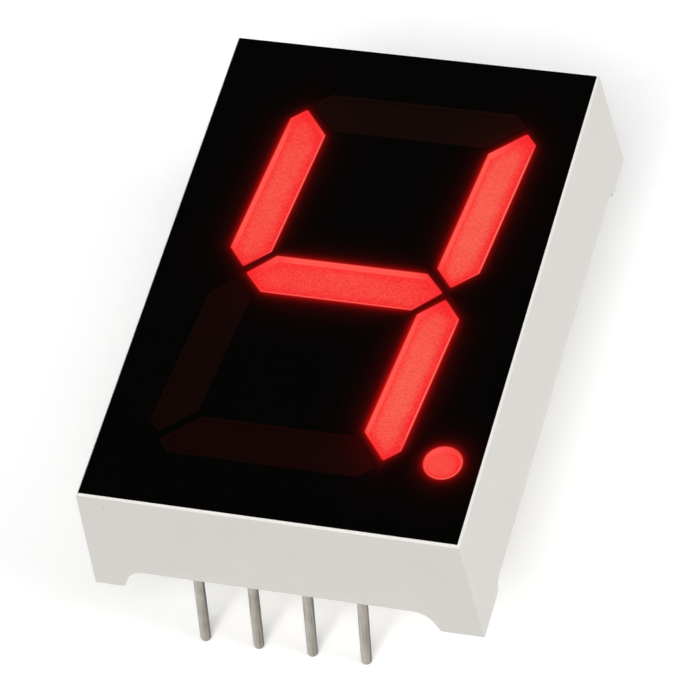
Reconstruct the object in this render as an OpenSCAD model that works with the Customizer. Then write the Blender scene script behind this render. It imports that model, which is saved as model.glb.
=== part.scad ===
// Single-digit seven segment LED display, reflector type, with a 20.32 mm (0.8 inch) digit.
// The part lies face up and stands on its pin tips: +X is to the right of the digit, +Y is
// towards its top and +Z points out of the face. The origin is under the centre of the
// housing, level with the pin tips. All sizes are in millimetres.

/* [Housing] */
// Width of the black face
face_w = 17; // [16.8:0.1:20]
// Length of the black face, from below the digit to above it
face_l = 25.65; // [25.5:0.05:30]
// Height of the housing, from its feet to its face
body_h = 6.5; // [6:0.1:8]
// Draft of the outer walls, in degrees
wall_draft = 3; // [0:0.5:5]
// Bevel between the face and the outer walls
face_bevel = 0.1; // [0.05:0.05:0.3]
// Thickness of the outer walls where they meet the feet
wall_t = 1.1; // [0.9:0.05:1.15]

/* [Feet] */
// Height of the arches in the short walls, above and below the digit
end_arch_h = 1.2; // [1:0.05:1.35]
// Height of the arches in the long walls, beside the digit
side_arch_h = 0.5; // [0.45:0.05:0.9]
// Length of the left feet, across the digit
foot_left = 1.3; // [1.2:0.1:2.5]
// Length of the right feet, across the digit
foot_right = 1.9; // [1.2:0.1:2.5]
// Length of the feet at the foot of the digit, along it
foot_front = 2.4; // [1.2:0.1:3]
// Length of the feet at the top of the digit, along it
foot_rear = 2.1; // [1.2:0.1:3]
// Radius at the bottom of each foot's inner end
toe_r = 0.12; // [0.06:0.02:0.16]
// Radius where a foot runs into a short wall's arch
end_arch_r = 0.95; // [0.5:0.05:1.2]
// Radius where a foot runs into a long wall's arch
side_arch_r = 0.4; // [0.2:0.05:0.6]
// Steepest slope of a foot's inner end, in degrees
foot_slope = 68; // [60:1:75]

/* [Digit] */
// Height of the digit
digit_h = 20.32; // [19.5:0.02:21]
// Width of the digit, across the outer edges of its strokes before the slant
digit_w = 11.48; // [11:0.02:12.2]
// How much wider the digit is at its top than at its foot
digit_taper = 0.2; // [0:0.05:0.4]
// Width of the upright strokes
upright_t = 1.96; // [1.8:0.01:2.1]
// Width of the level strokes
level_t = 2.08; // [1.9:0.01:2.2]
// Gap between neighbouring segments
segment_gap = 0.38; // [0.3:0.02:0.6]
// Length cut off the outer corners of the upright strokes, along the digit's side
stroke_cut = 1.6; // [1.45:0.05:1.8]
// Length cut off the outer corners of the top and bottom bars, along the bar
bar_cut = 1.42; // [1.3:0.02:1.7]
// Distance from the waist line to the tips of the upright strokes
waist_gap = 0.3; // [0.2:0.05:0.4]
// How far the waist line lies under the middle of the digit
waist_drop = 0.16; // [0:0.02:0.3]
// How much lower the waist line is at the digit's left than at its right
waist_fall = 0.18; // [0:0.02:0.3]
// Slant of the digit, in degrees
slant = 5.7; // [0:0.1:8]
// Distance of the digit to the right of the housing's centre
digit_x = 0.08; // [-0.2:0.02:0.2]

/* [Decimal point] */
// Distance of the decimal point to the right of the housing's centre
point_x = 6.85; // [6.8:0.01:6.9]
// Distance of the decimal point below the housing's centre
point_y = 8.86; // [8.6:0.02:9.2]
// Radius of the decimal point
point_r = 0.875; // [0.8:0.025:0.9]

/* [Light cavities] */
// Depth of the diffuser under the face
recess = 0.4; // [0.3:0.05:0.7]
// Width of the ledge between a cavity's upright mouth and its leaning walls
ledge = 0.04; // [0.03:0.01:0.06]
// How far the side walls of a cavity lean in between the diffuser and the board
cavity_lean = 0.35; // [0.2:0.05:0.4]
// Radius of a mouth's upright corners
cavity_r = 0.09; // [0.05:0.01:0.12]
// Thickness of the black film on the face
film_t = 0.05; // [0.03:0.01:0.1]
// Width of the bare rim between a cavity and the edge of its window in the film
rim = 0.06; // [0.04:0.01:0.1]

/* [Board] */
// Thickness of the circuit board
board_t = 1; // [0.8:0.1:1]
// Height of the board's lit side over the feet
board_z = 3.3; // [3.2:0.1:3.5]
// Height of the potting's surface over the feet
potting_z = 1.45; // [1.4:0.05:1.6]
// Side of an LED die
die_w = 0.3; // [0.2:0.05:0.35]
// Height of an LED die
die_h = 0.2; // [0.1:0.05:0.25]

/* [Pins] */
// Pitch of the pins in a row
pin_pitch = 2.54; // [2.54:0.01:2.54]
// Distance between the two rows
row_spacing = 22.86; // [22.84:0.02:22.88]
// Height of the feet over the pin tips
pin_drop = 6.6; // [3:0.1:10]
// Radius of a pin
pin_r = 0.25; // [0.2:0.01:0.28]
// Lean of the pins' free ends towards the digit's left, in degrees
pin_lean = 6.9; // [0:0.1:9]

/* [Hidden] */

// Overlap that lets one cut run cleanly through a face
eps = 0.5;
// Straight pieces in each quarter of a small moulded radius
arc_steps = 4;

// Heights over the pin tips
seat_z = pin_drop;
face_z = seat_z + body_h;
block_h = body_h - film_t;
film_z = seat_z + block_h;
fill_z = face_z - recess;
deck_z = seat_z + board_z;
board_bottom = deck_z - board_t;
potting_bottom = seat_z + potting_z;

// Pocket in the back of the housing, and the board that fits in it
base_grow = face_bevel + (block_h - face_bevel) * tan(wall_draft);
pocket_w = face_w + 2 * (base_grow - wall_t);
pocket_l = face_l + 2 * (base_grow - wall_t);
board_gap = 0.05;

// Cored pockets behind the two counters of the digit
core_wall = 1.05;
core_roof = 1;

// Copper, dies and wires
copper_t = 0.035;
pad_w = 0.6;
pad_gap = 0.3;
die_offset = 1.9;
wire_span = 0.95;
wire_r = 0.03;
ring_r = 0.55;

// The decimal point's cavity is smaller, so it leans less and its pads and wire are shorter
point_lean = 0.2;
point_pad_w = 0.34;
point_pad_l = 0.36;
point_span = 0.42;

// Pins and their solder. The free ends lean, and half way down they stand on the pins' grid
free_l = (potting_bottom - pin_r) / cos(pin_lean);
root_x = potting_bottom / 2 * tan(pin_lean);
root_depth = 0.1;
shank_r = pin_r + 0.05;
// Solder that crept down each pin's root: the round wall starts below it, clear of the potting
neck_l = 0.3;
neck_r = pin_r + 0.03;
solder_r = 0.5;
solder_h = 0.45;

// Colours
OFF_WHITE = [0.84, 0.83, 0.80];
INK_BLACK = [0.02, 0.02, 0.02];
LIT_RED = [0.98, 0.25, 0.22];
DARK_RED = [0.12, 0.05, 0.04];
LAMINATE = [0.85, 0.84, 0.72];
COPPER = [0.80, 0.52, 0.32];
GOLD = [0.90, 0.75, 0.35];
DIE_GREY = [0.35, 0.33, 0.36];
TIN = [0.60, 0.58, 0.54];
SOLDER = [0.72, 0.72, 0.72];
POTTING = [0.80, 0.78, 0.72];

// ---- Plane geometry -------------------------------------------------------------------

function unit(v) = v / norm(v);
function left_normal(v) = [-v[1], v[0]];
function before(pts, i) = pts[(i + len(pts) - 1) % len(pts)];
function after(pts, i) = pts[(i + 1) % len(pts)];

// Inward normals of the two edges that meet at corner i of an anticlockwise outline
function normal_in(pts, i) = left_normal(unit(pts[i] - before(pts, i)));
function normal_out(pts, i) = left_normal(unit(after(pts, i) - pts[i]));

// Where corner i goes when both of its edges move inwards by d
function moved_corner(pts, i, d) =
    let (a = normal_in(pts, i), b = normal_out(pts, i))
    pts[i] + d * (a + b) / (1 + a * b);

// An anticlockwise outline with all of its edges moved inwards by d
function inset(pts, d) = [for (i = [0 : len(pts) - 1]) moved_corner(pts, i, d)];

// An anticlockwise outline with an arc of radius r in place of each corner
function rounded(pts, r) = [
    for (i = [0 : len(pts) - 1])
        let (
            a = normal_in(pts, i),
            turn = acos(a * normal_out(pts, i)),
            start = atan2(-a[1], -a[0]),
            centre = moved_corner(pts, i, r)
        )
        for (k = [0 : arc_steps - 1])
            let (angle = start + turn * k / (arc_steps - 1))
            centre + r * [cos(angle), sin(angle)]
];

// The mean of a list of points
function mean(pts, i = 0) = i == len(pts) ? [0, 0] : pts[i] / len(pts) + mean(pts, i + 1);

// ---- The digit ------------------------------------------------------------------------

half_w = digit_w / 2;
half_h = digit_h / 2;
mitre = segment_gap / sqrt(2);

// A point of the upright digit, widened towards its top, slanted and moved to its place
function slanted(p) =
    let (widening = 1 + digit_taper * p[1] / (digit_w * digit_h))
    [p[0] * widening + p[1] * tan(slant) + digit_x, p[1]];

// Anticlockwise order for an outline that was turned over by mirroring
function turned(pts, over) = over ? [for (i = [len(pts) - 1 : -1 : 0]) pts[i]] : pts;

// How far a mitred end runs from its inner corner to the cut across the digit's corner
function mitre_run(cut) = (upright_t + level_t + mitre - cut) / 2;

// Height of the waist line at the right of the digit (side = 1) or at its left (side = -1)
function waist_y(side) = side * waist_fall / 2 - waist_drop;

// The top bar (up = 1) or the bottom bar (up = -1)
function bar(up) =
    let (
        inner = [half_w - upright_t - mitre, half_h - level_t],
        tip = inner + mitre_run(bar_cut) * [1, 1],
        shoulder = [half_w - bar_cut, half_h],
        corners = [tip, shoulder, [-shoulder[0], shoulder[1]], [-tip[0], tip[1]],
            [-inner[0], inner[1]], inner]
    )
    turned([for (p = corners) [p[0], up * p[1]]], up < 0);

// One of the four upright strokes: side = 1 right or -1 left, up = 1 upper or -1 lower
function stroke(side, up) =
    let (
        inner = [half_w - upright_t, half_h - level_t - mitre],
        tip = inner + mitre_run(stroke_cut) * [1, 1],
        waist = waist_gap + up * waist_y(side),
        shoulder = waist + upright_t / 2,
        corners = [tip, inner, [inner[0], shoulder], [half_w - upright_t / 2, waist],
            [half_w, shoulder], [half_w, half_h - stroke_cut]]
    )
    turned([for (p = corners) [side * p[0], up * p[1]]], side * up < 0);

// The middle bar
function middle_bar() =
    let (
        tip = half_w - upright_t / 2 + waist_gap - segment_gap * sqrt(2),
        shoulder = tip - level_t / 2,
        top = level_t / 2 - waist_drop,
        bottom = -level_t / 2 - waist_drop
    )
    [[tip, waist_y(1)], [shoulder, top], [-shoulder, top],
        [-tip, waist_y(-1)], [-shoulder, bottom], [shoulder, bottom]];

// Outlines of segments a to g on the face, and the directions in which they run
OUTLINES = [
    for (outline = [bar(1), stroke(1, 1), stroke(1, -1), bar(-1), stroke(-1, -1), stroke(-1, 1), middle_bar()])
        [for (p = outline) slanted(p)]
];
LEVEL = 0;
UPRIGHT = 90 - slant;
DIRECTIONS = [LEVEL, UPRIGHT, UPRIGHT, LEVEL, UPRIGHT, UPRIGHT, LEVEL];

// ---- Shared shapes --------------------------------------------------------------------

// Solid between two outlines with the same number of corners
module loft(lower, upper, z_low, z_high) {
    n = len(lower);
    polyhedron(
        points = concat([for (p = lower) [p[0], p[1], z_low]], [for (p = upper) [p[0], p[1], z_high]]),
        faces = concat(
            [[for (i = [0 : n - 1]) i]],
            [[for (i = [n - 1 : -1 : 0]) n + i]],
            [for (i = [0 : n - 1]) [i, n + i, n + (i + 1) % n, (i + 1) % n]]
        )
    );
}

// The leaning part of cavity i, from the board up to the diffuser's surface
module cavity_cup(i) {
    top = inset(OUTLINES[i], rim + ledge);
    loft(inset(top, cavity_lean), top, deck_z, fill_z);
}

// A straight prism inside outline i, from the given height through the face
module window(i, inwards, z_low) {
    translate([0, 0, z_low])
        linear_extrude(face_z + eps - z_low)
            polygon(rounded(inset(OUTLINES[i], inwards), cavity_r));
}

// The leaning part of the decimal point's cavity
module point_cup() {
    top_r = point_r - rim - ledge;
    translate([point_x, -point_y, deck_z])
        cylinder(h = fill_z - deck_z, r1 = top_r - point_lean, r2 = top_r, $fn = 48);
}

module point_window(inwards, z_low) {
    translate([point_x, -point_y, z_low])
        cylinder(h = face_z + eps - z_low, r = point_r - inwards, $fn = 48);
}

// Puts its children on the board in the middle of segment i, turned along it
module on_board(i) {
    centre = mean(OUTLINES[i]);
    translate([centre[0], centre[1], deck_z])
        rotate(DIRECTIONS[i])
            children();
}

module on_point_board() {
    translate([point_x, -point_y, deck_z])
        children();
}

// Columns and rows of the pins: columns count from the left, rows are -1 in front and 1 behind
FRONT_COLUMNS = [0, 1, 2, 3];
REAR_COLUMNS = [0, 1, 2, 3, 4];
MIDDLE_COLUMN = 2;
FRONT = -1;
REAR = 1;

module at_pin(column, row) {
    translate([(column - MIDDLE_COLUMN) * pin_pitch + root_x, row * row_spacing / 2, 0])
        children();
}

module at_each_pin() {
    for (column = FRONT_COLUMNS)
        at_pin(column, FRONT) children();
    for (column = REAR_COLUMNS)
        at_pin(column, REAR) children();
}

// ---- Housing --------------------------------------------------------------------------

// A quarter turn or less, from level up to the foot's slope, on a radius
function ramp(r) = [
    for (k = [0 : arc_steps])
        let (t = foot_slope * k / arc_steps)
        r * [sin(t), 1 - cos(t)]
];

// Inner end of a foot: a toe radius, a steep flank and the radius that runs into the arch
function foot_curve(arch_h, arch_r) =
    let (
        toe = ramp(toe_r),
        arch = ramp(arch_r),
        rise = arch_h - toe[arc_steps][1] - arch[arc_steps][1],
        run = toe[arc_steps][0] + arch[arc_steps][0] + rise / tan(foot_slope)
    )
    concat(toe, [for (k = [arc_steps : -1 : 0]) [run, arch_h] - arch[k]]);

// Side view of the drafted and bevelled block, with the arch between its two feet
function wall_profile(half_face, near_foot, far_foot, arch_h, arch_r) =
    let (
        half_base = half_face + base_grow,
        curve = foot_curve(arch_h, arch_r)
    )
    concat(
        [[-half_base, 0]],
        [for (p = curve) [p[0] - half_base + near_foot, p[1]]],
        [for (i = [len(curve) - 1 : -1 : 0]) [half_base - far_foot - curve[i][0], curve[i][1]]],
        [[half_base, 0]],
        [[half_face + face_bevel, block_h - face_bevel]],
        [[half_face, block_h]],
        [[-half_face, block_h]],
        [[-half_face - face_bevel, block_h - face_bevel]]
    );

// The outer form: the front view and the side view, each run through the block
module housing_block() {
    run = 2 * (face_l + base_grow);
    translate([0, 0, seat_z])
        intersection() {
            rotate([90, 0, 0])
                linear_extrude(run, center = true)
                    polygon(wall_profile(face_w / 2, foot_left, foot_right, end_arch_h, end_arch_r));
            rotate([90, 0, 90])
                linear_extrude(run, center = true)
                    polygon(wall_profile(face_l / 2, foot_front, foot_rear, side_arch_h, side_arch_r));
        }
}

// Pocket behind one counter of the digit, up = 1 for the upper and -1 for the lower one
module core_pocket(up) {
    side = half_w - upright_t - core_wall;
    high = half_h - level_t - core_wall;
    low = level_t / 2 + core_wall - up * waist_drop;
    corners = [[-side, up * low], [side, up * low], [side, up * high], [-side, up * high]];
    translate([0, 0, deck_z - eps])
        linear_extrude(film_z - core_roof - deck_z + eps)
            polygon([for (p = corners) slanted(p)]);
}

module housing() {
    color(OFF_WHITE)
        difference() {
            housing_block();
            translate([-pocket_w / 2, -pocket_l / 2, seat_z - eps])
                cube([pocket_w, pocket_l, board_z + eps]);
            for (i = [0 : len(OUTLINES) - 1]) {
                cavity_cup(i);
                window(i, rim, fill_z);
            }
            point_cup();
            point_window(rim, fill_z);
            core_pocket(1);
            core_pocket(-1);
        }
}

// The black film lies on the housing and leaves a bare rim round each cavity
module face_film() {
    color(INK_BLACK)
        difference() {
            translate([-face_w / 2, -face_l / 2, film_z])
                cube([face_w, face_l, film_t]);
            for (i = [0 : len(OUTLINES) - 1])
                window(i, 0, film_z - eps);
            point_window(0, film_z - eps);
        }
}

// ---- Light engine ---------------------------------------------------------------------

// A pad on the board, from one distance along the segment to another
module pad(from, to, width) {
    translate([from, -width / 2, 0])
        cube([to - from, width, copper_t]);
}

module die(along) {
    translate([along - die_w / 2, -die_w / 2, copper_t])
        cube([die_w, die_w, die_h]);
}

// A wire from the top of a die, over a half round and down to the next pad
module bond_wire(along, span) {
    translate([along + span / 2, 0, copper_t + die_h])
        rotate([90, 0, 0])
            rotate_extrude(angle = 180, $fn = 48)
                translate([span / 2, 0])
                    circle(r = wire_r, $fn = 16);
    translate([along + span, 0, copper_t])
        cylinder(h = die_h, r = wire_r, $fn = 16);
}

// Two dies in series: each stands on its own pad, and its wire runs to the next pad
DIES = [-die_offset, die_offset];
half_pad = pad_w / 2;
second_pad = -die_offset + wire_span - half_pad;
third_pad = die_offset + wire_span - half_pad;

module segment_pads() {
    pad(-die_offset - half_pad, second_pad - pad_gap, pad_w);
    pad(second_pad, third_pad - pad_gap, pad_w);
    pad(third_pad, third_pad + pad_w, pad_w);
}

module segment_dies() {
    for (along = DIES)
        die(along);
}

module segment_wires() {
    for (along = DIES)
        bond_wire(along, wire_span);
}

// The decimal point has one die, with its wire beside it
point_die = -point_span / 2;

module point_pads() {
    for (side = [-1, 1])
        pad(side * point_span / 2 - point_pad_l / 2, side * point_span / 2 + point_pad_l / 2, point_pad_w);
}

module point_wire() {
    bond_wire(point_die, point_span);
}

module fill(i) {
    difference() {
        cavity_cup(i);
        on_board(i) {
            segment_pads();
            segment_dies();
            segment_wires();
        }
    }
}

module lit_fill(i) { color(LIT_RED) fill(i); }
module dark_fill(i) { color(DARK_RED) fill(i); }
module dies(i) { color(DIE_GREY) on_board(i) segment_dies(); }
module wires(i) { color(GOLD) on_board(i) segment_wires(); }

module decimal_point() {
    color(LIT_RED)
        difference() {
            point_cup();
            on_point_board() {
                point_pads();
                die(point_die);
                point_wire();
            }
        }
}

module led_die_point() { color(DIE_GREY) on_point_board() die(point_die); }
module bond_wire_point() { color(GOLD) on_point_board() point_wire(); }

// ---- Board and back -------------------------------------------------------------------

module circuit_board() {
    color(LAMINATE)
        difference() {
            translate([board_gap - pocket_w / 2, board_gap - pocket_l / 2, board_bottom])
                cube([pocket_w - 2 * board_gap, pocket_l - 2 * board_gap, board_t]);
            at_each_pin() pin_hole();
        }
}

// Ring pad round a pin on the back of the board
module ring_pad() {
    difference() {
        translate([0, 0, board_bottom - copper_t])
            cylinder(h = copper_t, r = ring_r, $fn = 48);
        pin_hole();
    }
}

module copper_tracks() {
    color(COPPER) {
        for (i = [0 : len(OUTLINES) - 1])
            on_board(i) segment_pads();
        on_point_board() point_pads();
        at_each_pin() ring_pad();
    }
}

// Solder fillet between a pin's shank and its ring pad, with a hollow curved flank
module solder_fillet() {
    flank_r = solder_r - shank_r;
    translate([0, 0, board_bottom - copper_t])
        mirror([0, 0, 1])
            rotate_extrude($fn = 48)
                polygon(concat(
                    [[shank_r, 0]],
                    [[solder_r, 0]],
                    [
                        for (k = [0 : arc_steps])
                            let (t = 90 * k / arc_steps)
                            [solder_r - flank_r * sin(t) * 0.95, solder_h * (1 - cos(t))]
                    ],
                    [[shank_r, solder_h]]
                ));
}

module solder_joints() {
    color(SOLDER)
        at_each_pin() solder_fillet();
}

module back_potting() {
    color(POTTING)
        difference() {
            translate([-pocket_w / 2, -pocket_l / 2, potting_bottom])
                cube([pocket_w, pocket_l, deck_z - potting_bottom]);
            circuit_board();
            at_each_pin() {
                pin_hole();
                ring_pad();
                solder_fillet();
            }
        }
}

// ---- Pins -----------------------------------------------------------------------------

// The upright part of a pin, from the potting's surface up through the board
module pin_shank() {
    translate([0, 0, potting_bottom])
        cylinder(h = deck_z - potting_bottom, r = shank_r, $fn = 48);
}

// The hole that the shank fills, run past both ends for clean cuts
module pin_hole() {
    translate([0, 0, potting_bottom - eps])
        cylinder(h = deck_z - potting_bottom + 2 * eps, r = shank_r, $fn = 48);
}

// The free end leans out of the shank: a slightly flared neck, a straight wall and a round tip
module free_end() {
    translate([0, 0, potting_bottom])
        rotate([0, pin_lean, 0]) {
            translate([0, 0, -neck_l])
                cylinder(h = neck_l + root_depth, r1 = pin_r, r2 = neck_r, $fn = 48);
            translate([0, 0, -free_l]) {
                cylinder(h = free_l - neck_l, r = pin_r, $fn = 48);
                sphere(r = pin_r, $fn = 48);
            }
        }
}

module pin_body() {
    pin_shank();
    free_end();
}

module front_pin(number) { color(TIN) at_pin(FRONT_COLUMNS[number - 1], FRONT) pin_body(); }
module rear_pin(number) { color(TIN) at_pin(REAR_COLUMNS[number - 1], REAR) pin_body(); }

// ---- Nodes ----------------------------------------------------------------------------

// Places of the segments' outlines in OUTLINES
A = 0;
B = 1;
C = 2;
D = 3;
E = 4;
F = 5;
G = 6;

housing();
face_film();
dark_fill(A);  // segment_a
lit_fill(B);  // segment_b
lit_fill(C);  // segment_c
dark_fill(D);  // segment_d
dark_fill(E);  // segment_e
lit_fill(F);  // segment_f
lit_fill(G);  // segment_g
decimal_point();
circuit_board();
copper_tracks();
solder_joints();
back_potting();
dies(A);  // led_dies_a
dies(B);  // led_dies_b
dies(C);  // led_dies_c
dies(D);  // led_dies_d
dies(E);  // led_dies_e
dies(F);  // led_dies_f
dies(G);  // led_dies_g
led_die_point();
wires(A);  // bond_wires_a
wires(B);  // bond_wires_b
wires(C);  // bond_wires_c
wires(D);  // bond_wires_d
wires(E);  // bond_wires_e
wires(F);  // bond_wires_f
wires(G);  // bond_wires_g
bond_wire_point();
front_pin(1);  // front_pin_1
front_pin(2);  // front_pin_2
front_pin(3);  // front_pin_3
front_pin(4);  // front_pin_4
rear_pin(1);  // rear_pin_1
rear_pin(2);  // rear_pin_2
rear_pin(3);  // rear_pin_3
rear_pin(4);  // rear_pin_4
rear_pin(5);  // rear_pin_5
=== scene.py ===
"""Looks of a seven segment display: pieces, finishes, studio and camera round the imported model.

The display lies face up on its pin tips. The CAD nodes give every size and place. Lengths in
the classes below are in millimetres, and meshes are written in metres.
"""

import logging
import math
from abc import ABC, abstractmethod
from collections.abc import Callable
from dataclasses import dataclass, field, replace
from enum import Enum
from functools import cached_property
from typing import NamedTuple

import bmesh
import bpy
import numpy as np
from mathutils import Matrix, Vector


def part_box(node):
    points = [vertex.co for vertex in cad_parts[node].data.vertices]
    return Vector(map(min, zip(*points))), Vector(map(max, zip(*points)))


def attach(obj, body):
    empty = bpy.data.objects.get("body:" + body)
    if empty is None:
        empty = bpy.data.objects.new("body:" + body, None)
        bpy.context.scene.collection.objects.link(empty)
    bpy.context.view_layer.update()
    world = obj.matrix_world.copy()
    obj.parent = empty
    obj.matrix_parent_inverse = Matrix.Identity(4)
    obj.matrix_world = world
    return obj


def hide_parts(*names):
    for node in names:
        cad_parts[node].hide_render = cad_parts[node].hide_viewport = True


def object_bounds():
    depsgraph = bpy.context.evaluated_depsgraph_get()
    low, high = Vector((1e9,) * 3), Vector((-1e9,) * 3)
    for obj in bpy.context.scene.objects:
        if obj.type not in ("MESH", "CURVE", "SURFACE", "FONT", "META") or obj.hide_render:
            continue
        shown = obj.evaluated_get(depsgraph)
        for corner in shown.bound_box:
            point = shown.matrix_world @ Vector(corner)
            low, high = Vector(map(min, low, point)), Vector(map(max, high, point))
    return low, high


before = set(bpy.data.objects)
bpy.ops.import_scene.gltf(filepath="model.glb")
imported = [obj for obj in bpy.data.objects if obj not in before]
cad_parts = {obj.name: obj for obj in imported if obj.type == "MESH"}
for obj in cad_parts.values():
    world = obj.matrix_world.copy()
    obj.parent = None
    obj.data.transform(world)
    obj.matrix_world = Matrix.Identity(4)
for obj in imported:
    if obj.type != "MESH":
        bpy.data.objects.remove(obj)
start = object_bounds()

LOG = logging.getLogger("display")
MM = 0.001
TURN = 2 * math.pi

Pair = tuple[float, float]
Colour = tuple[float, float, float]
Socket = bpy.types.NodeSocket
Node = bpy.types.Node
Material = bpy.types.Material
Mesh = bpy.types.Mesh
Object = bpy.types.Object
Arithmetic = Callable[["Value", "Value | float"], "Value"]

BLACK: Colour = (0.0, 0.0, 0.0)
MIDDLE = 0.5  # the middle of a noise that runs from 0 to 1


class Slot(Enum):
    """Material slots of the record's pieces that are drawn anew."""

    HOUSING = "housing_plastic"
    LIT = "diffuser_lit"
    DARK = "diffuser_dark"
    PIN = "pin_metal"


# ---- Shader graph ---------------------------------------------------------------------


def operator(operation: str, reflected: bool = False) -> Arithmetic:
    """Makes an arithmetic operator of Value.

    Args:
        operation: operation of the Math node that it adds.
        reflected: whether the other operand stands first.

    Returns:
        The operator's method.
    """

    def method(self: "Value", other: "Value | float") -> "Value":
        """Adds the Math node."""
        return self.math(operation, other, self) if reflected else self.math(operation, self, other)

    return method


class Value:
    """A number that runs through a shader: arithmetic on it adds Math nodes."""

    __add__, __radd__ = operator("ADD"), operator("ADD", reflected=True)
    __sub__, __rsub__ = operator("SUBTRACT"), operator("SUBTRACT", reflected=True)
    __mul__, __rmul__ = operator("MULTIPLY"), operator("MULTIPLY", reflected=True)
    __truediv__, __rtruediv__ = operator("DIVIDE"), operator("DIVIDE", reflected=True)
    __pow__, __rpow__ = operator("POWER"), operator("POWER", reflected=True)

    def __init__(self, graph: "ShaderGraph", socket: Socket) -> None:
        """Wraps one output socket of a graph."""
        self.graph = graph
        self.socket = socket

    def math(self, operation: str, *operands: "Value | float") -> "Value":
        """Adds one Math node with the operation and the operands given, in order."""
        node = self.graph.node("ShaderNodeMath", {"operation": operation}, dict(enumerate(operands)))
        return Value(self.graph, node.outputs[0])

    def fitted(self, gain: float, shift: float) -> "Value":
        """self * gain + shift, in one node."""
        return self.math("MULTIPLY_ADD", self, gain, shift)

    def exp(self) -> "Value":
        """e to the power of self."""
        return self.math("EXPONENT", self)

    def log(self) -> "Value":
        """The natural logarithm of self."""
        return self.math("LOGARITHM", self, math.e)

    def clamped(self) -> "Value":
        """self kept between 0 and 1."""
        return self.math("MINIMUM", self.math("MAXIMUM", self, 0.0), 1.0)

    def step(self, low: float, high: float) -> "Value":
        """Smooth step from 0 to 1.

        Args:
            low: where it is 0.
            high: where it is 1.

        Returns:
            The step.
        """
        sockets = {"Value": self, "From Min": low, "From Max": high, "To Min": 0.0, "To Max": 1.0}
        node = self.graph.node("ShaderNodeMapRange", {"interpolation_type": "SMOOTHSTEP"}, sockets)
        return self.graph.value(node, "Result")


class Noise(NamedTuple):
    """A soft noise."""

    per_mm: float  # features per millimetre
    detail: float = 3.0  # how many finer layers it carries


class ShaderGraph:
    """One tree of shader nodes, emptied and ended in one output node."""

    def __init__(self, tree: bpy.types.NodeTree, output: str) -> None:
        """Empties a tree and adds its output node.

        Args:
            tree: the tree.
            output: the output node's type.
        """
        self.tree = tree
        self.tree.nodes.clear()
        self.output = self.tree.nodes.new(output)

    def finish(self, shader: Node) -> None:
        """Links a shader to the output node."""
        self.tree.links.new(shader.outputs[0], self.output.inputs["Surface"])

    def feed(self, socket: Socket, value: object) -> None:
        """Links a value, a colour or a vector to a socket, or writes a constant on it.

        Args:
            socket: the input socket.
            value: what it takes.
        """
        if isinstance(value, Value):
            value = value.socket
        if isinstance(value, Socket):
            self.tree.links.new(value, socket)
        elif isinstance(value, tuple) and socket.type == "RGBA":
            socket.default_value = (*value, 1.0)
        else:
            socket.default_value = value

    def node(self, kind: str, settings: dict | None = None, sockets: dict | None = None) -> Node:
        """Adds any node.

        Args:
            kind: the node's type.
            settings: its properties, set first.
            sockets: constants or links of its inputs, by name or number.

        Returns:
            The node.
        """
        node = self.tree.nodes.new(kind)
        for key, value in (settings or {}).items():
            setattr(node, key, value)
        for key, value in (sockets or {}).items():
            self.feed(node.inputs[key], value)
        return node

    def value(self, node: Node, output: str) -> Value:
        """One output of a node, ready for arithmetic."""
        return Value(self, node.outputs[output])

    def total(self, values: list[Value]) -> Value:
        """The sum of some numbers."""
        return sum(values[1:], values[0])

    @cached_property
    def place(self) -> Socket:
        """The point of the surface in the part's frame, in millimetres."""
        return self.scaled(self.node("ShaderNodeTexCoord").outputs["Object"], 1 / MM)

    def vector_math(self, operation: str, sockets: dict) -> Node:
        """Adds one Vector Math node."""
        return self.node("ShaderNodeVectorMath", {"operation": operation}, sockets)

    def scaled(self, vector: Socket, gain: "Value | float") -> Socket:
        """A vector or a colour times a number."""
        return self.vector_math("SCALE", {0: vector, "Scale": gain}).outputs[0]

    def stretched(self, vector: Socket, gains: Colour) -> Socket:
        """A vector times another, axis by axis."""
        return self.vector_math("MULTIPLY", {0: vector, 1: gains}).outputs[0]

    def along(self, axis: Colour) -> Value:
        """How far the place runs along an axis."""
        return self.value(self.vector_math("DOT_PRODUCT", {0: self.place, 1: axis}), "Value")

    def away(self, point: Colour) -> Value:
        """Distance of the place from a point, seen from above."""
        flat = self.stretched(self.place, (1.0, 1.0, 0.0))
        return self.value(self.vector_math("DISTANCE", {0: flat, 1: point}), "Value")

    def noise(self, kind: Noise, place: Socket | None = None) -> Value:
        """A noise, centred on 0 and about from -0.5 to 0.5, at the place or at another one."""
        sockets = {"Vector": place or self.place, "Scale": kind.per_mm, "Detail": kind.detail}
        return self.value(self.node("ShaderNodeTexNoise", None, sockets), "Fac") - MIDDLE

    def attribute(self, name: str) -> Value:
        """A number stored on the piece's own vertices."""
        return self.value(self.node("ShaderNodeAttribute", {"attribute_name": name}), "Fac")

    def mix(self, factor: "Value | float", low: object, high: object) -> Socket:
        """A colour between a low one, where the factor is 0, and a high one, where it is 1."""
        sockets = {"Factor": factor, 6: low, 7: high}
        return self.node("ShaderNodeMix", {"data_type": "RGBA"}, sockets).outputs[2]

    def bump(self, height: Value, depth: float) -> Socket:
        """A normal bumped by a relief, in which 1 stands for the depth in millimetres."""
        sockets = {"Height": height, "Distance": depth * MM, "Strength": 1.0}
        return self.node("ShaderNodeBump", None, sockets).outputs[0]

    def seen(self) -> Value:
        """Tells what is looked at from light on its way.

        Returns:
            1 for what the camera, a reflection or a clear body shows, and 0 for the light.
        """
        path = self.node("ShaderNodeLightPath")
        rays = [self.value(path, f"Is {kind} Ray") for kind in ("Camera", "Glossy", "Transmission")]
        return self.total(rays).clamped()


def new_material(name: str) -> tuple[Material, ShaderGraph]:
    """Makes a material with an empty graph.

    Args:
        name: its name.

    Returns:
        The material and its graph.
    """
    material = bpy.data.materials.new(name)
    material.use_nodes = True
    return material, ShaderGraph(material.node_tree, "ShaderNodeOutputMaterial")


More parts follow.
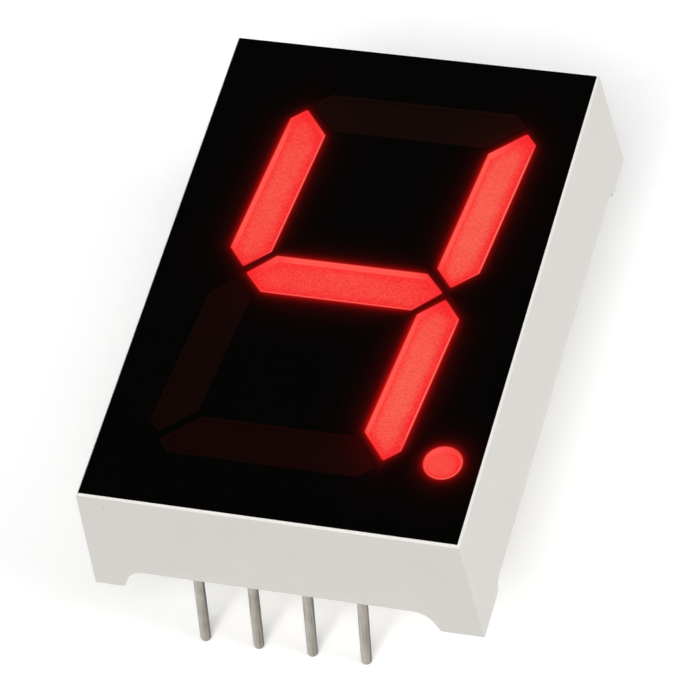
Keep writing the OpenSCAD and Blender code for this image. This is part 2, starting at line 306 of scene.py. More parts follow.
# ---- Outlines -------------------------------------------------------------------------


def level(point: np.ndarray) -> Colour:
    """A point or a direction in the plane, as a shader's vector."""
    return (float(point[0]), float(point[1]), 0.0)


@dataclass
class Outline:
    """The convex outline of a light window, as its corners in counterclockwise order."""

    corners: np.ndarray  # corners of the diffuser's face, one row each
    arc: int = 6  # points on each rounded corner of a ring
    run: int = 12  # pieces on each edge of a ring

    def centre(self) -> np.ndarray:
        """The middle of the corners."""
        return self.corners.mean(axis=0)

    def sides(self) -> np.ndarray:
        """The edges as vectors; edge i runs from corner i to corner i + 1."""
        return np.roll(self.corners, -1, axis=0) - self.corners

    def normals(self) -> np.ndarray:
        """Outward unit normals of the edges."""
        return outwards(self.sides())

    def lengths(self) -> np.ndarray:
        """Lengths of the edges."""
        return np.linalg.norm(self.sides(), axis=1)

    def reaches(self) -> np.ndarray:
        """Distance of each edge's line from the origin, along its normal."""
        return np.sum(self.normals() * self.corners, axis=1)

    def moved(self, out: float) -> np.ndarray:
        """Corners after every edge has moved outwards by a distance.

        A corner moves along the sum of its two normals, divided by one plus their product.

        Args:
            out: the distance.

        Returns:
            The corners, one row each.
        """
        after = self.normals()
        before = np.roll(after, 1, axis=0)
        step = (before + after) / (1 + np.sum(before * after, axis=1, keepdims=True))
        return self.corners + out * step

    def ring(self, out: float, radius: float) -> np.ndarray:
        """Closed ring of points parallel to the outline, with rounded corners.

        Each corner is an arc about the corner of the outline that lies one radius further in.
        Each edge is split evenly between the arcs at its ends.

        Args:
            out: distance outwards from the corners' outline.
            radius: radius of the rounded corners.

        Returns:
            The points, one row each.
        """
        after = self.normals()
        before = np.roll(after, 1, axis=0)
        first = np.arctan2(before[:, 1], before[:, 0])
        turn = np.mod(np.arctan2(after[:, 1], after[:, 0]) - first, TURN)
        angles = first[:, None] + turn[:, None] * np.linspace(0, 1, self.arc)
        arcs = self.moved(out - radius)[:, None, :] + radius * spokes(angles)
        share = np.linspace(0, 1, self.run + 1)[1:-1, None]
        ends = np.roll(arcs[:, 0], -1, axis=0)
        edges = arcs[:, -1][:, None, :] * (1 - share) + ends[:, None, :] * share
        return np.concatenate([arcs, edges], axis=1).reshape(-1, 2)

    def depth(self, graph: ShaderGraph, shift: Pair, soft: float) -> Value:
        """How far a place lies in from the nearest edge, in a shader.

        It is minus a length times the logarithm of the sum, for all edges, of e to the power of
        the distance past the edge over that length, which rounds off the ridges.

        Args:
            graph: the graph to add to.
            shift: how far the outline is shifted back first.
            soft: the length.

        Returns:
            The distance.
        """
        normals = self.normals()
        reaches = self.reaches() - normals @ np.array(shift)
        falls = [
            graph.along(level(normal)).fitted(1 / soft, -float(reach) / soft).exp()
            for normal, reach in zip(normals, reaches)
        ]
        return graph.total(falls).log() * -soft

    def half_length(self) -> float:
        """Distance from the centre to the farthest corner."""
        return float(np.max(np.linalg.norm(self.corners - self.centre(), axis=1)))

    def spine(self, width: float) -> np.ndarray:
        """Works out the middle line, along the direction in which the corners spread most.

        Args:
            width: twice how far each end lies in from the outline's far end.

        Returns:
            Its two ends, one row each.
        """
        spread = self.corners - self.centre()
        axis = np.linalg.svd(spread)[2][0]
        half = np.max(np.abs(spread @ axis)) - width / 2
        return np.stack([self.centre() - axis * half, self.centre() + axis * half])


@dataclass
class RoundOutline(Outline):
    """A round light window, which takes the same calls as one with corners."""

    spread: float = 2.2  # half length, in radii, of a long window whose light falls off as little

    def radius(self) -> float:
        """The circle's radius."""
        return super().half_length()

    def ring(self, out: float, radius: float) -> np.ndarray:
        """A circle at a distance outwards; it has no corners to round."""
        angles = np.linspace(0, TURN, 12 * self.arc, endpoint=False)
        return self.centre() + (self.radius() + out) * spokes(angles)

    def depth(self, graph: ShaderGraph, shift: Pair, soft: float) -> Value:
        """How far a place lies in from the circle, shifted back; it has no ridges to round."""
        away = graph.away(level(self.centre() - np.array(shift)))
        return away.fitted(-1.0, self.radius())

    def half_length(self) -> float:
        """As on a long window, so that the light hardly falls off along it."""
        return self.spread * self.radius()

    def spine(self, width: float) -> np.ndarray:
        """The centre, twice."""
        return np.stack([self.centre(), self.centre()])


def outwards(along: np.ndarray) -> np.ndarray:
    """Unit normals to the right of some directions, one row each."""
    across = np.stack([along[:, 1], -along[:, 0]], axis=1)
    return across / np.linalg.norm(across, axis=1, keepdims=True)


def spokes(angles: np.ndarray) -> np.ndarray:
    """Unit vectors at some angles, with their cosine and sine along a new last axis."""
    return np.stack([np.cos(angles), np.sin(angles)], axis=-1)


def top_outline(node: str, rounded: bool = False) -> Outline:
    """Reads the outline of a diffuser's face from its CAD node.

    Args:
        node: the CAD node.
        rounded: whether the window is round.

    Returns:
        The outline, in millimetres.
    """
    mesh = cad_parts[node].data
    flat = np.empty(len(mesh.vertices) * 3)
    mesh.vertices.foreach_get("co", flat)
    points = flat.reshape(-1, 3) / MM
    top = points[points[:, 2] > points[:, 2].max() - 0.001, :2]
    if rounded:
        low, high = top.min(axis=0), top.max(axis=0)
        circle = spokes(np.linspace(0, TURN, 48, endpoint=False))
        return RoundOutline((low + high) / 2 + (high - low) / 2 * circle)
    rim = np.unique(top.round(4), axis=0)
    spread = rim - rim.mean(axis=0)
    return Outline(rim[np.argsort(np.arctan2(spread[:, 1], spread[:, 0]))])


# ---- Meshes ---------------------------------------------------------------------------


def put(name: str, data: bpy.types.ID) -> Object:
    """Puts a mesh, a lamp or a camera in the scene.

    Args:
        name: the object's name.
        data: what it holds.

    Returns:
        The object, at the origin.
    """
    thing = bpy.data.objects.new(name, data)
    bpy.context.scene.collection.objects.link(thing)
    return thing


def new_piece(mesh: Mesh, material: Material, sharp: float) -> Object:
    """Puts a mesh in the scene as a smooth piece of the same name.

    Args:
        mesh: the mesh.
        material: its finish.
        sharp: the angle in degrees past which an edge stays sharp.

    Returns:
        The object, at the origin.
    """
    mesh.materials.clear()
    mesh.materials.append(material)
    mesh.polygons.foreach_set("use_smooth", np.ones(len(mesh.polygons), dtype=bool))
    mesh.set_sharp_from_angle(angle=math.radians(sharp))
    return put(mesh.name, mesh)


def join_frame(piece: Object, node: str) -> Object:
    """Puts a finished piece in the place of a CAD node.

    Args:
        piece: the piece.
        node: the node.

    Returns:
        The piece.
    """
    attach(piece, "root")
    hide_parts(node)
    return piece


def tube_mesh(name: str, rings: np.ndarray) -> Mesh:
    """A closed surface through a stack of rings, with a flat cap on its first and last ring.

    Point (i, j) of the grid is point j of ring i, and the grid closes on itself along j. The
    rings turn counterclockwise, seen from the side on which the first one lies.

    Args:
        name: the mesh's name.
        rings: points in millimetres, indexed by ring, point and axis.

    Returns:
        The mesh, in metres.
    """
    count, points = rings.shape[:2]
    index = np.arange(count * points).reshape(count, points)
    after = np.roll(index, -1, axis=1)
    quads = np.stack([index[1:], after[1:], after[:-1], index[:-1]], axis=2).reshape(-1, 4)
    caps = [index[0].tolist(), index[-1][::-1].tolist()]
    mesh = bpy.data.meshes.new(name)
    mesh.from_pydata((rings.reshape(-1, 3) * MM).tolist(), [], quads.tolist() + caps)
    mesh.update()
    return mesh


def heights(node: str) -> Pair:
    """The lowest and the highest point of a CAD node, in millimetres."""
    low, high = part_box(node)
    return low.z / MM, high.z / MM


def store(mesh: Mesh, name: str, values: np.ndarray) -> None:
    """Stores one number for each vertex."""
    attribute = mesh.attributes.new(name, "FLOAT", "POINT")
    attribute.data.foreach_set("value", values.astype(np.float32).ravel())


# ---- Finishes -------------------------------------------------------------------------


class Finish(ABC):
    """A finish, laid as shader nodes."""

    @abstractmethod
    def inputs(self, graph: ShaderGraph) -> dict[str, object]:
        """Works out the inputs of the Principled surface, by name."""

    def material(self, name: str) -> Material:
        """Makes the material.

        Args:
            name: its name.

        Returns:
            The material.
        """
        material, graph = new_material(name)
        graph.finish(graph.node("ShaderNodeBsdfPrincipled", None, self.inputs(graph)))
        return material


@dataclass(frozen=True)
class MouldedPlastic(Finish):
    """Off-white moulded plastic with a fine spark-eroded grain."""

    top: float  # height of the top edges
    tone: Colour = (0.600, 0.580, 0.549)  # its colour
    shade: Colour = (0.568, 0.546, 0.511)  # the colour of its darker clouds
    brightening: Colour = (0.720, 0.698, 0.668)  # painted highlight: the paler colour along its top edges, where the rim catches the light
    highlight_band: Pair = (0.13, 0.06)  # how far under the top edges the painted highlight starts, and where it is full
    stain: Colour = (0.330, 0.310, 0.280)  # the colour of its few small specks
    rare: Pair = (0.315, 0.36)  # level of the noise at which a speck starts, and where it is full
    # clouds, fine, pits, specks: noises of the clouds, the grain, its pits and the specks
    clouds: Noise = Noise(0.32)
    fine: Noise = Noise(9.0)
    pits: Noise = Noise(26.0, 1.0)
    specks: Noise = Noise(2.6, 1.0)
    relief: float = 0.0012  # depth of the grain
    roughness: float = 0.46  # middle roughness
    wander: float = 0.25  # how much the grain changes the roughness
    drift: Pair = (1.1, 0.4)  # gain and shift of the clouds between the two colours
    even: float = 0.8  # how evenly the painted highlight lies along the edges, before the grain changes it
    cover: float = 0.6  # how much a speck hides of the plastic
    sink: float = 0.6  # depth of the pits, as a share of the relief
    squash: Colour = (1.0, 1.0, 1.7)  # stretch of the specks along each axis

    def inputs(self, graph: ShaderGraph) -> dict[str, object]:
        """Works out the plastic's inputs.

        Args:
            graph: the graph to add to.

        Returns:
            The inputs, by name.
        """
        clouds, fine = graph.noise(self.clouds), graph.noise(self.fine)
        specks = graph.noise(self.specks, graph.stretched(graph.place, self.squash))
        # painted highlight: a paler band along the top edges, broken up by the fine grain
        low, full = (self.top - under for under in self.highlight_band)
        brightening = graph.along((0.0, 0.0, 1.0)).step(low, full) * fine.fitted(1.0, self.even)
        colour = graph.mix(clouds.fitted(*self.drift).clamped(), self.tone, self.shade)
        colour = graph.mix(brightening, colour, self.brightening)
        relief = fine.fitted(1.0, MIDDLE) + graph.noise(self.pits) * self.sink
        return {
            "Base Color": graph.mix(specks.step(*self.rare) * self.cover, colour, self.stain),
            "Roughness": fine.fitted(self.wander, self.roughness),
            "Normal": graph.bump(relief, self.relief),
        }


@dataclass(frozen=True)
class Halo:
    """Red light that spreads from the lit windows, under the ink and through the dark diffusers.

    Round a window with straight edges it is one over the sum, for all edges, of e to the power
    of the distance past the edge over a length; round a round one it is e to the power of
    minus that. Several such terms are added. An edge's gain leans towards the lower left,
    where more of the light leaks out, and short edges leak less, since they are far from the
    chips.
    """

    windows: tuple[Outline, ...]  # outlines of the lit windows
    gains: tuple[float, ...]  # how strong the light of each is
    spot: tuple[float, float, float]  # centre and radius of the lit round window
    edge: float  # distance of the film's edge outwards from the outlines
    lean: Pair = (-0.15, -0.20)  # how much stronger the light is at an edge that faces +X and +Y
    short: float = 0.3  # power of an edge's length that its gain follows
    terms: tuple[Pair, ...] = ((0.275, 0.105), (0.034, 0.42))  # strength and length of each term
    power: float = 2.2  # how the lights of two windows add up: 1 for a plain sum, more for less

    def strength(self, graph: ShaderGraph) -> Value:
        """Adds up the light of all windows.

        Args:
            graph: the graph to add to.

        Returns:
            The light's strength, at most 1.
        """
        x, y, radius = self.spot
        away = graph.away((x, y, 0.0))
        falls = [away.fitted(-1 / length, radius / length).exp() for _, length in self.terms]
        lights = [graph.total([amount * fall for (amount, _), fall in zip(self.terms, falls)])]
        lights += [self.window_light(graph, *pair) for pair in zip(self.windows, self.gains)]
        return (graph.total([light**self.power for light in lights]) ** (1 / self.power)).clamped()

    def window_light(self, graph: ShaderGraph, window: Outline, gain: float) -> Value:
        """The light of one window with straight edges.

        Args:
            graph: the graph to add to.
            window: the window's outline.
            gain: how strong its light is.

        Returns:
            The light's strength.
        """
        normals, lengths = window.normals(), window.lengths()
        reaches = window.reaches() + self.edge
        gains = gain * (1 + normals @ np.array(self.lean)) * (lengths / lengths.max()) ** self.short
        runs = [graph.along(level(normal)) for normal in normals]
        layers = []
        for amount, length in self.terms:
            shifts = (-reaches / length - np.log(gains)).tolist()
            falls = [run.fitted(1 / length, shift).exp() for run, shift in zip(runs, shifts)]
            layers.append(amount / graph.total(falls))
        return graph.total(layers)


@dataclass(frozen=True)
class Grained(Finish):
    """Any plain stuff with two tones, clouds, grain and a relief."""

    tone: Colour  # its light colour
    shade: Colour  # its dark colour
    # clouds, grains: noises of the clouds and of the grain
    clouds: Noise
    grains: Noise
    relief: float  # depth of the grain
    roughness: float  # middle roughness
    wander: float = 0.3  # how much the grain changes the roughness
    mottle: Pair = (1.0, 0.8)  # how much the clouds and the grain change the colour
    metallic: float = 0.0  # 1 for a metal
    shine: float = 0.5  # level of its reflection
    stretch: Colour = (1.0, 1.0, 1.0)  # stretch of the grain along each axis

    def inputs(self, graph: ShaderGraph) -> dict[str, object]:
        """Works out the stuff's inputs.

        Args:
            graph: the graph to add to.

        Returns:
            The inputs, by name.
        """
        grain = graph.noise(self.grains, graph.stretched(graph.place, self.stretch))
        pale = graph.noise(self.clouds) * self.mottle[0] + grain * self.mottle[1]
        return {
            "Base Color": graph.mix(pale.fitted(1.0, MIDDLE).clamped(), self.shade, self.tone),
            "Metallic": self.metallic,
            "Roughness": grain.fitted(self.wander, self.roughness),
            "Specular IOR Level": self.shine,
            "Normal": graph.bump(grain.fitted(1.0, MIDDLE), self.relief),
        }


@dataclass(frozen=True, kw_only=True)
class Haloed(Grained):
    """Dark stuff beside the lit windows, with their halo in it."""

    halo: Halo  # the light of the lit windows
    leak: Colour = BLACK  # the light that it gives apart from the halo
    glow: Colour  # the halo's colour
    wander: float = 0.2

    def inputs(self, graph: ShaderGraph) -> dict[str, object]:
        """Adds the halo to the stuff's inputs."""
        # painted glow: the halo of the lit windows is laid on as emission, on the ink and in the dark
        # diffusers
        light = graph.mix(self.halo.strength(graph), self.leak, self.glow)
        return super().inputs(graph) | {"Emission Color": light, "Emission Strength": 1.0}


@dataclass(frozen=True)
class InkFilm(Haloed):
    """Black ink on the face, with the halo of the lit windows under it."""

    tone: Colour = (0.0011, 0.0008, 0.0006)
    shade: Colour = (0.0007, 0.0006, 0.0005)
    clouds: Noise = Noise(0.5, 2.0)
    grains: Noise = Noise(18.0, 2.0)
    relief: float = 0.0006
    roughness: float = 0.55
    mottle: Pair = (1.0, 0.0)
    shine: float = 0.006
    glow: Colour = (1.0, 0.004, 0.005)


@dataclass(frozen=True)
class DarkDiffuser(Haloed):
    """Smoky red diffuser with its light off, faintly lit from behind by its neighbours."""

    tone: Colour = (0.0018, 0.0010, 0.0008)
    shade: Colour = (0.0011, 0.0006, 0.0005)
    clouds: Noise = Noise(0.6, 2.0)
    grains: Noise = Noise(7.5, 2.0)
    relief: float = 0.002
    roughness: float = 0.5
    mottle: Pair = (1.4, 0.5)
    shine: float = 0.004
    glow: Colour = (1.0, 0.0, 0.006)


@dataclass(frozen=True, kw_only=True)
class LitDiffuser(Grained):
    """Milky red diffuser with its light on.

    Over the chips the colour is warmer and paler, and it deepens towards the walls. It reads
    the piece's own numbers: lip (0 on the diffuser's face, 1 at the top of the recess wall, 2
    at the film's edge), sunny (how much a wall faces the main light) and glint (how much a
    rim faces away from it).
    """

    tone: Colour = (0.105, 0.009, 0.008)
    shade: Colour = (0.075, 0.006, 0.005)
    clouds: Noise = Noise(1.1, 2.0)
    grains: Noise = Noise(11.0, 1.0)
    relief: float = 0.002
    roughness: float = 0.42
    wander: float = 0.2
    mottle: Pair = (0.0, 1.0)
    shine: float = 0.05
    outline: Outline  # outline of the diffuser's face
    warmth: float  # how strong the light of the chips is, from 0 to 1
    edge: Colour = (0.835, 0.018, 0.022)  # colour of the deep light near the walls
    heart: Colour = (0.838, 0.105, 0.071)  # colour over the strongest chips
    foot: Colour = (0.80, 0.026, 0.023)  # colour at the foot of the walls
    wall: Colour = (0.89, 0.066, 0.053)  # colour of the light on the recess walls
    sunny: Colour = (0.91, 0.112, 0.090)  # the same, where they face the main light
    glint: Colour = (0.93, 0.165, 0.125)  # the same, where they face away from it
    lip: Colour = (0.30, 0.001, 0.001)  # colour where the rim meets the film
    tints: Pair = (0.4, 0.85)  # how much the clouds and the grain change the light's colour
    flicker: float = 0.30  # how much the grain changes its strength
    shift: Pair = (0.17, -0.15)  # how far the light seems shifted, seen aslant through the resin
    speckle: float = 0.4  # how much the grain changes the light of the walls
    rise: Pair = (-0.05, 0.6)  # depths from the walls between which the warmth comes up
    rim: Pair = (-0.03, 0.07)  # depths from the walls between which the foot's colour ends
    tips: Pair = (0.6, 1.0)  # shares of the length between which the walls' light deepens
    brink: Pair = (0.02, 0.2)  # lips between which the face's light turns into the wall's
    # ridge, crease: how far the ridges of the light and of the foot's edge are rounded
    ridge: float = 0.12
    crease: float = 0.02
    fall: float = 0.45  # how much of the warmth is lost towards the ends

    def inputs(self, graph: ShaderGraph) -> dict[str, object]:
        """Adds the light to the resin's inputs.

        Args:
            graph: the graph to add to.

        Returns:
            The inputs, by name.
        """
        grain, lip = graph.noise(self.grains), graph.attribute("lip")
        ends = graph.away(level(self.outline.centre())) * (1 / self.outline.half_length())
        rise = self.outline.depth(graph, self.shift, self.ridge).step(*self.rise)
        chips = rise * (ends * ends).fitted(-self.fall, 1.0) * self.warmth
        heart = chips + grain * self.tints[1] + graph.noise(self.clouds) * self.tints[0]
        foot = self.outline.depth(graph, (0.0, 0.0), self.crease).step(*self.rim)
        face = graph.mix(foot, self.foot, graph.mix(heart.clamped(), self.edge, self.heart))
        face = graph.scaled(face, grain.fitted(self.flicker, 1.0))
        sunny = (graph.attribute("sunny") + grain * self.speckle).clamped()
        glint = (graph.attribute("glint") * self.warmth).clamped()
        past = (lip - 1.0).clamped()
        wall = graph.mix(glint, graph.mix(sunny, self.wall, self.sunny), self.glint)
        wall = graph.mix(ends.step(*self.tips), wall, self.edge)
        wall = graph.mix(past * past, wall, self.lip)
        light = graph.mix(lip.step(*self.brink), face, wall)
        return super().inputs(graph) | {"Emission Color": light, "Emission Strength": 1.0}


@dataclass(frozen=True)
class TinnedWire(Finish):
    """Dull tinned wire, drawn lengthwise, with tarnished spots, a painted reflection round it and
    painted dark reflections along its sides.

    It reads the piece's own numbers: side (the painted brightness round the wire) and the
    strength of the painted dark stripes along its sides.
    """

    lean: float  # how far the wire leans towards -X, in degrees
    tone: Colour = (0.50, 0.465, 0.425)  # the metal where the painted reflection and the streaks make it bright
    shade: Colour = (0.17, 0.150, 0.120)  # the metal where the painted reflection and the streaks make it dark
    dark_reflection: Colour = (0.052, 0.042, 0.028)  # painted dark reflection: the colour of the dark stripes along its sides, and of the tarnished spots
    draw: Colour = (1.0, 1.0, 0.03)  # stretch of the streaks along each axis of the wire
    # streaks, patches, pits: noises of the streaks, the patches of duller metal and the pits
    streaks: Noise = Noise(12.0)
    patches: Noise = Noise(0.8)
    pits: Noise = Noise(16.0, 2.0)
    relief: float = 0.0012  # depth of the streaks
    roughness: float = 0.34  # middle roughness
    brightening: Pair = (1.3, 0.8)  # how much the streaks and the patches change the brightness
    stained: Pair = (0.8, 0.5)  # how much the streaks and the pits add tarnished spots to the painted dark stripes
    wander: Pair = (0.25, 0.2)  # how much the streaks and the patches change the roughness
    sink: float = 0.3  # depth of the pits, as a share of the relief

    def inputs(self, graph: ShaderGraph) -> dict[str, object]:
        """Works out the wire's inputs.

        Args:
            graph: the graph to add to.

        Returns:
            The inputs, by name.
        """
        upright = {"Vector": graph.place, "Rotation": (0.0, -math.radians(self.lean), 0.0)}
        turned = graph.node("ShaderNodeMapping", None, upright).outputs[0]
        streaks = graph.noise(self.streaks, graph.stretched(turned, self.draw))
        patches, pits = graph.noise(self.patches, turned), graph.noise(self.pits, turned)
        # painted reflection: the stored brightness round the wire, with the streaks and the patches
        bright = graph.attribute("side") + streaks * self.brightening[0] + patches * self.brightening[1]
        # painted dark reflections: the stored dark stripes, with tarnished spots from the streaks and
        # the pits
        reflection_and_tarnish = graph.attribute("dark_reflection") + streaks * self.stained[0] + pits * self.stained[1]
        rough = streaks * self.wander[0] + patches * self.wander[1]
        metal = graph.mix(bright.clamped(), self.shade, self.tone)
        return {
            "Base Color": graph.mix(reflection_and_tarnish.clamped(), metal, self.dark_reflection),
            "Metallic": 1.0,
            "Roughness": rough.fitted(1.0, self.roughness),
            "Normal": graph.bump(streaks.fitted(1.0, MIDDLE) + pits * self.sink, self.relief),
        }


# ---- Sub-assemblies -------------------------------------------------------------------


@dataclass
class Window:
    """One light window: the diffuser's face, the skin of light on its recess walls, and its cup."""

    node: str  # the CAD node it stands for
    outline: Outline  # outline of the diffuser's face
    slot: Slot  # its material slot; not used
    mouth: float = 0.04  # distance of the recess wall outwards from the outline
    film: float = 0.10  # distance of the film's edge outwards from the outline
    skin: float = 0.05  # thickness of the skin on the wall
    gap: float = 0.002  # clearance to the housing
    corner: float = 0.09  # radius of the recess's corners
    bend: float = 0.045  # radius of the rim
    draft: float = 0.35  # how far the cup narrows down to the board
    width: float = 1.9  # width of the segment
    meniscus: float = 0.04  # height that the resin climbs at the wall
    climb: float = 0.05  # distance from the wall over which it falls to a third
    sun: Pair = (0.67, -0.74)  # direction towards the main light, in the plane
    # shares of the way from the wall, far and near, between which the face's rings crowd
    crowd: Pair = (0.2, 0.004)
    # rings in that crowd, on the wall, round the rim and on its top
    rows: tuple[int, int, int, int] = (12, 10, 6, 6)
    foot: float = 0.1  # lip at the foot of the wall
    sharp: float = 50.0  # the angle in degrees past which an edge stays sharp

    def build(self, film_low: float, film_high: float, material: Material) -> Object:
        """Builds the piece as a stack of rings round the outline.

        The stack runs from the middle of the face out to the wall, up the wall, over the rim,
        and back down behind the skin and along the cup to the board.

        Args:
            film_low: height of the film's back.
            film_high: height of the film's face.
            material: the finish.

        Returns:
            The piece.
        """
        low, high = heights(self.node)
        rim = self.outline.ring(self.mouth - self.gap - self.skin, self.corner - self.skin)
        flat, rises = self.face(rim, high)
        rows = self.wall(rises[-1], film_low, 0.5 * (film_low + film_high), high, low)
        flat = np.concatenate([flat, [self.outline.ring(out, radius) for out, radius, _, _ in rows]])
        rises = np.concatenate([rises, [row[2] for row in rows]])
        lips = np.concatenate([np.zeros(len(flat) - len(rows)), [row[3] for row in rows]])
        shape = flat.shape[:2]
        stack = np.concatenate([flat, np.broadcast_to(rises[:, None, None], (*shape, 1))], axis=2)
        mesh = tube_mesh(self.node + "_light", stack)
        facing = outwards(np.roll(rim, -1, axis=0) - np.roll(rim, 1, axis=0)) @ np.array(self.sun)
        store(mesh, "lip", np.repeat(lips, shape[1]))
        store(mesh, "sunny", np.tile(np.clip(-facing, 0, 1) ** 3, shape[0]))
        store(mesh, "glint", np.tile(np.clip(facing, 0, 1), shape[0]))
        return join_frame(new_piece(mesh, material, self.sharp), self.node)

    def face(self, rim: np.ndarray, height: float) -> tuple[np.ndarray, np.ndarray]:
        """Works out the rings of the diffuser's face, from its middle line to the wall.

        A ring lies a share of the way from the nearest point of the middle line to the rim, and
        it is raised by the meniscus times e to the power of minus its distance from the wall
        over the climb.

        Args:
            rim: the last ring.
            height: the face's height.

        Returns:
            The points, by ring, and the height of each ring.
        """
        first, last = self.outline.spine(self.width)
        axis = last - first
        share = np.clip((rim - first) @ axis / max(axis @ axis, 1e-12), 0, 1)
        middle = first + share[:, None] * axis
        parts = np.append(1 - np.geomspace(*self.crowd, self.rows[0]), 1.0)
        away = np.mean(np.linalg.norm(rim - middle, axis=1)) * (1 - parts)
        rises = height + self.meniscus * np.exp(-away / self.climb)
        return middle + parts[:, None, None] * (rim - middle), rises

    def wall(
        self, foot: float, film_low: float, top: float, face: float, board: float
    ) -> list[tuple[float, float, float, float]]:
        """Works out the rings of the recess wall, the rim, the skin's back and the cup.

        Args:
            foot: height of the wall's foot.
            film_low: height of the film's back.
            top: height of the rim.
            face: height of the diffuser's face.
            board: height of the board.

        Returns:
            Each ring's distance outwards, corner radius, height and lip.
        """
        film, mouth = self.film - self.gap, self.mouth - self.gap
        inner = mouth - self.skin
        over = inner + self.bend
        rise = top - self.bend - foot
        up = [
            (inner, self.corner - self.skin, foot + part * rise, self.foot + (1 - self.foot) * part)
            for part in np.linspace(0.08, 1.0, self.rows[1])
        ]
        rim = [
            (
                over - self.bend * math.cos(angle),
                self.corner,
                top - self.bend * (1 - math.sin(angle)),
                1.0,
            )
            for angle in np.linspace(0.2, TURN / 4, self.rows[2])
        ]
        rim += [
            (over + part * (film - over), self.corner, top, 1.0 + part)
            for part in np.linspace(0.2, 1.0, self.rows[3])
        ]
        back = [
            (film, self.corner, film_low + self.gap, 2.0),
            (mouth, self.corner, film_low + self.gap, 2.0),
            (mouth, self.corner, face + self.gap, 0.0),
            (-self.gap, self.gap, face + self.gap, 0.0),
        ]
        cup = [
            (-self.gap - part * self.draft, self.gap, face - part * (face - board), 0.0)
            for part in (0.0, 0.5, 1.0)
        ]
        return up + rim + back + cup


@dataclass
class WirePin:
    """One wire pin: an upright shank, a flared neck, and a leaning round end."""

    node: str  # the CAD node it stands for
    lean: float  # lean of the free end towards -X, in degrees
    bend: float  # height of the bend, at the potting's surface
    seed: int  # seed of its unevenness
    radius: float = 0.25  # radius of the wire
    shank: float = 0.30  # radius of the shank
    neck: float = 0.3  # length of the flared neck
    # height, as a share of the radius, and number round the wire of each slow wave
    waves: tuple[Pair, ...] = ((0.004, 2), (0.004, 3), (0.003, 5), (0.002, 9))
    # slow, wander: range of the length, and size in radians, of the crests' wandering
    slow: Pair = (1.0, 3.0)
    wander: float = 0.6
    # how much slimmer the wire is drawn, so that its waves stay inside the CAD node
    slim: float = 0.012
    bright: float = -150.0  # painted reflection: where the metal is painted brightest, in degrees from +X towards +Y
    # painted dark reflections: where each dark stripe lies, its strength and its half width in
    # degrees
    stripes: tuple[tuple[float, float, float], ...] = ((-2.0, 0.95, 25.0), (-150.0, 0.6, 12.0))
    shine: Pair = (0.47, 0.33)  # middle and swing of the painted brightness round the wire
    gap: float = 0.003  # clearance of the shank to the CAD node
    sink: float = 0.02  # how far the neck starts inside the shank, sideways and down
    around: int = 56  # points round the wire
    # rings on the shank, on the neck, on the wire and on its tip
    rings: tuple[int, int, int, int] = (3, 5, 70, 14)
    sharp: float = 60.0  # the angle in degrees past which an edge stays sharp

    def build(self, material: Material) -> Object:
        """Builds the pin as rings along its bent middle line.

        The first rings lie level round the shank. The others lie square to the leaning line,
        at their own radii, and the last ones close in a half sphere.

        Args:
            material: the finish.

        Returns:
            The piece.
        """
        low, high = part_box(self.node)
        root = np.array([high.x / MM - self.shank, 0.5 * (low.y + high.y) / MM, self.bend])
        tilt = math.radians(self.lean)
        side, across = np.array([math.cos(tilt), 0.0, -math.sin(tilt)]), np.array([0.0, 1.0, 0.0])
        down = np.array([-math.sin(tilt), 0.0, -math.cos(tilt)])
        around = np.linspace(0, TURN, self.around, endpoint=False)
        run, radii = self.profile()
        grown = radii[:, None] * (1 - self.slim + self.unevenness(run, around))
        sideways = grown[:, :, None] * (spokes(around) @ [side, across])
        leaning = root + run[:, None, None] * down + sideways
        levels = np.linspace(high.z / MM, self.bend, self.rings[0])
        shank = root + (self.shank - self.gap) * (spokes(around) @ [[1.0, 0.0, 0.0], across])
        upright = np.stack([shank] * len(levels))
        upright[:, :, 2] = levels[:, None]
        mesh = tube_mesh(self.node + "_wire", np.concatenate([upright, leaning]))
        turn = np.broadcast_to(around, (len(levels) + len(run), len(around)))
        # painted reflection: the brightness round the wire and the dark stripes along it, fixed to
        # the angle round it
        shine = self.shine[0] + self.shine[1] * np.cos(turn - math.radians(self.bright))
        stripes = sum(share * self.stripe(turn, at, width) for at, share, width in self.stripes)
        store(mesh, "side", shine)
        store(mesh, "dark_reflection", stripes)
        return join_frame(new_piece(mesh, material, self.sharp), self.node)

    def profile(self) -> tuple[np.ndarray, np.ndarray]:
        """Works out the leaning wire's rings.

        The radius falls evenly over the neck, stays the wire's as far as the tip, and then
        follows a cosine while the distance follows a sine.

        Returns:
            Distance from the bend and radius of each ring.
        """
        free = (self.bend - self.radius) / math.cos(math.radians(self.lean))
        neck = np.linspace(self.sink, self.neck, self.rings[1])
        run = np.concatenate([neck, np.linspace(self.neck, free, self.rings[2])[1:]])
        flare = np.clip(1 - run / self.neck, 0, 1)
        radii = self.radius + (self.shank - self.sink - self.radius) * flare
        cap = np.linspace(0, TURN / 4, self.rings[3])[1:-1]
        run = np.concatenate([run, free + self.radius * np.sin(cap)])
        return run, np.concatenate([radii, self.radius * np.cos(cap)])

    def unevenness(self, run: np.ndarray, around: np.ndarray) -> np.ndarray:
        """Adds up slow waves round the wire, whose crests wander along it as a sine.

        Args:
            run: distance of each ring from the bend.
            around: angle of each point of a ring.

        Returns:
            Growth of the radius, by ring and point.
        """
        draw = np.random.default_rng(self.seed)
        uneven = np.zeros((len(run), len(around)))
        for height, turns in self.waves:
            first, slow = draw.uniform(0, 6.28), draw.uniform(*self.slow)
            crests = turns * around[None] + first + self.wander * np.sin(run[:, None] / slow)
            uneven += height * np.cos(crests)
        return uneven

    def stripe(self, turn: np.ndarray, middle: float, width: float) -> np.ndarray:
        """A soft stripe: e to the power of minus the sixth power of the angle over the width."""
        folded = np.degrees(np.mod(turn - math.radians(middle) + math.pi, TURN) - math.pi)
        return np.exp(-((folded / width) ** 6))


